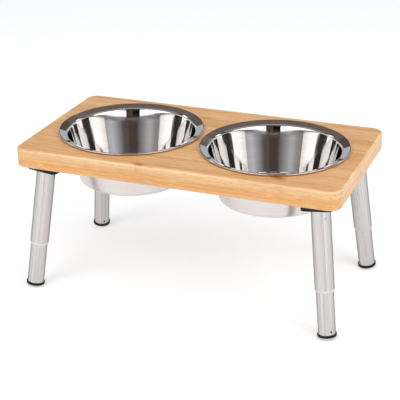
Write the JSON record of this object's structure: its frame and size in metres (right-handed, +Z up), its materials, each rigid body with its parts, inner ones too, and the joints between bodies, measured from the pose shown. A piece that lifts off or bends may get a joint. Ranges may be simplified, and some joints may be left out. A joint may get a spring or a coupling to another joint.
{
  "type": "elevated dog bowl",
  "caption": "Low bamboo stand with round lift-out steel feeding bowls, held off the floor by splayed telescopic twist-lock legs with wedge brackets and domed feet.",
  "frame": {"origin": "on the floor under the middle of the board", "axes": "+X along the board, +Y to the back, +Z up"},
  "size_m": [0.4104, 0.2184, 0.1935],
  "materials": {
    "bamboo": "clear satin lacquer over straight bamboo grain",
    "bowl_steel": "polished inside, satin outside",
    "tube_aluminium": "satin anodised, drawn along the tube",
    "rivet_aluminium": "plain",
    "zinc_steel": "zinc plated",
    "black_plastic": "fine moulded texture",
    "bush_plastic": "pale satin",
    "lock_plastic": "plain moulded",
    "foot_rubber": "matt moulded"
  },
  "bodies": {
    "stand": {"board": "bamboo", "front_left_bracket": "black_plastic", "front_left_bracket_screws": "zinc_steel", "front_left_upper_tube": "tube_aluminium", "front_left_rivet": "rivet_aluminium", "front_left_guide_bush": "bush_plastic", "front_right_bracket": "black_plastic", "front_right_bracket_screws": "zinc_steel", "front_right_upper_tube": "tube_aluminium", "front_right_rivet": "rivet_aluminium", "front_right_guide_bush": "bush_plastic", "back_left_bracket": "black_plastic", "back_left_bracket_screws": "zinc_steel", "back_left_upper_tube": "tube_aluminium", "back_left_rivet": "rivet_aluminium", "back_left_guide_bush": "bush_plastic", "back_right_bracket": "black_plastic", "back_right_bracket_screws": "zinc_steel", "back_right_upper_tube": "tube_aluminium", "back_right_rivet": "rivet_aluminium", "back_right_guide_bush": "bush_plastic"},
    "left_bowl": {"left_bowl": "bowl_steel"},
    "right_bowl": {"right_bowl": "bowl_steel"},
    "front_left_grip": {"front_left_lock_sleeve": "lock_plastic"},
    "front_left_lower_leg": {"front_left_lower_tube": "tube_aluminium", "front_left_lock_plug": "lock_plastic", "front_left_lock_stud": "zinc_steel", "front_left_foot": "foot_rubber"},
    "front_left_cone": {"front_left_lock_cone": "lock_plastic"},
    "front_right_grip": {"front_right_lock_sleeve": "lock_plastic"},
    "front_right_lower_leg": {"front_right_lower_tube": "tube_aluminium", "front_right_lock_plug": "lock_plastic", "front_right_lock_stud": "zinc_steel", "front_right_foot": "foot_rubber"},
    "front_right_cone": {"front_right_lock_cone": "lock_plastic"},
    "back_left_grip": {"back_left_lock_sleeve": "lock_plastic"},
    "back_left_lower_leg": {"back_left_lower_tube": "tube_aluminium", "back_left_lock_plug": "lock_plastic", "back_left_lock_stud": "zinc_steel", "back_left_foot": "foot_rubber"},
    "back_left_cone": {"back_left_lock_cone": "lock_plastic"},
    "back_right_grip": {"back_right_lock_sleeve": "lock_plastic"},
    "back_right_lower_leg": {"back_right_lower_tube": "tube_aluminium", "back_right_lock_plug": "lock_plastic", "back_right_lock_stud": "zinc_steel", "back_right_foot": "foot_rubber"},
    "back_right_cone": {"back_right_lock_cone": "lock_plastic"}
  },
  "joints": [
    {"name": "left_bowl_lift", "type": "slide", "parent": "stand", "child": "left_bowl", "axis": [0, 0, 1], "range_m": [0, 0.12]},
    {"name": "right_bowl_lift", "type": "slide", "parent": "stand", "child": "right_bowl", "axis": [0, 0, 1], "range_m": [0, 0.12]},
    {"name": "front_left_leg_slide", "type": "slide", "parent": "stand", "child": "front_left_grip", "axis": [-0.1131, -0.1131, -0.9871], "range_m": [-0.025, 0.017]},
    {"name": "front_left_leg_twist", "type": "hinge", "parent": "front_left_grip", "child": "front_left_lower_leg", "pos_m": [-0.175, -0.079, 0.16619], "axis": [-0.1131, -0.1131, -0.9871], "range_deg": [0, 270]},
    {"name": "front_left_cone_climb", "type": "slide", "parent": "front_left_grip", "child": "front_left_cone", "axis": [0.1131, 0.1131, 0.9871], "range_m": [0, 0.0016]},
    {"name": "front_right_leg_slide", "type": "slide", "parent": "stand", "child": "front_right_grip", "axis": [0.1131, -0.1131, -0.9871], "range_m": [-0.025, 0.017]},
    {"name": "front_right_leg_twist", "type": "hinge", "parent": "front_right_grip", "child": "front_right_lower_leg", "pos_m": [0.175, -0.079, 0.16619], "axis": [0.1131, -0.1131, -0.9871], "range_deg": [0, 270]},
    {"name": "front_right_cone_climb", "type": "slide", "parent": "front_right_grip", "child": "front_right_cone", "axis": [-0.1131, 0.1131, 0.9871], "range_m": [0, 0.0016]},
    {"name": "back_left_leg_slide", "type": "slide", "parent": "stand", "child": "back_left_grip", "axis": [-0.1131, 0.1131, -0.9871], "range_m": [-0.025, 0.017]},
    {"name": "back_left_leg_twist", "type": "hinge", "parent": "back_left_grip", "child": "back_left_lower_leg", "pos_m": [-0.175, 0.079, 0.16619], "axis": [-0.1131, 0.1131, -0.9871], "range_deg": [0, 270]},
    {"name": "back_left_cone_climb", "type": "slide", "parent": "back_left_grip", "child": "back_left_cone", "axis": [0.1131, -0.1131, 0.9871], "range_m": [0, 0.0016]},
    {"name": "back_right_leg_slide", "type": "slide", "parent": "stand", "child": "back_right_grip", "axis": [0.1131, 0.1131, -0.9871], "range_m": [-0.025, 0.017]},
    {"name": "back_right_leg_twist", "type": "hinge", "parent": "back_right_grip", "child": "back_right_lower_leg", "pos_m": [0.175, 0.079, 0.16619], "axis": [0.1131, 0.1131, -0.9871], "range_deg": [0, 270]},
    {"name": "back_right_cone_climb", "type": "slide", "parent": "back_right_grip", "child": "back_right_cone", "axis": [-0.1131, -0.1131, 0.9871], "range_m": [0, 0.0016]}
  ],
  "couplings": [
    {"joint": "front_left_cone_climb", "follows": "front_left_leg_twist", "m_per_rad": 0.00031831},
    {"joint": "front_right_cone_climb", "follows": "front_right_leg_twist", "m_per_rad": 0.00031831},
    {"joint": "back_left_cone_climb", "follows": "back_left_leg_twist", "m_per_rad": 0.00031831},
    {"joint": "back_right_cone_climb", "follows": "back_right_leg_twist", "m_per_rad": 0.00031831}
  ]
}
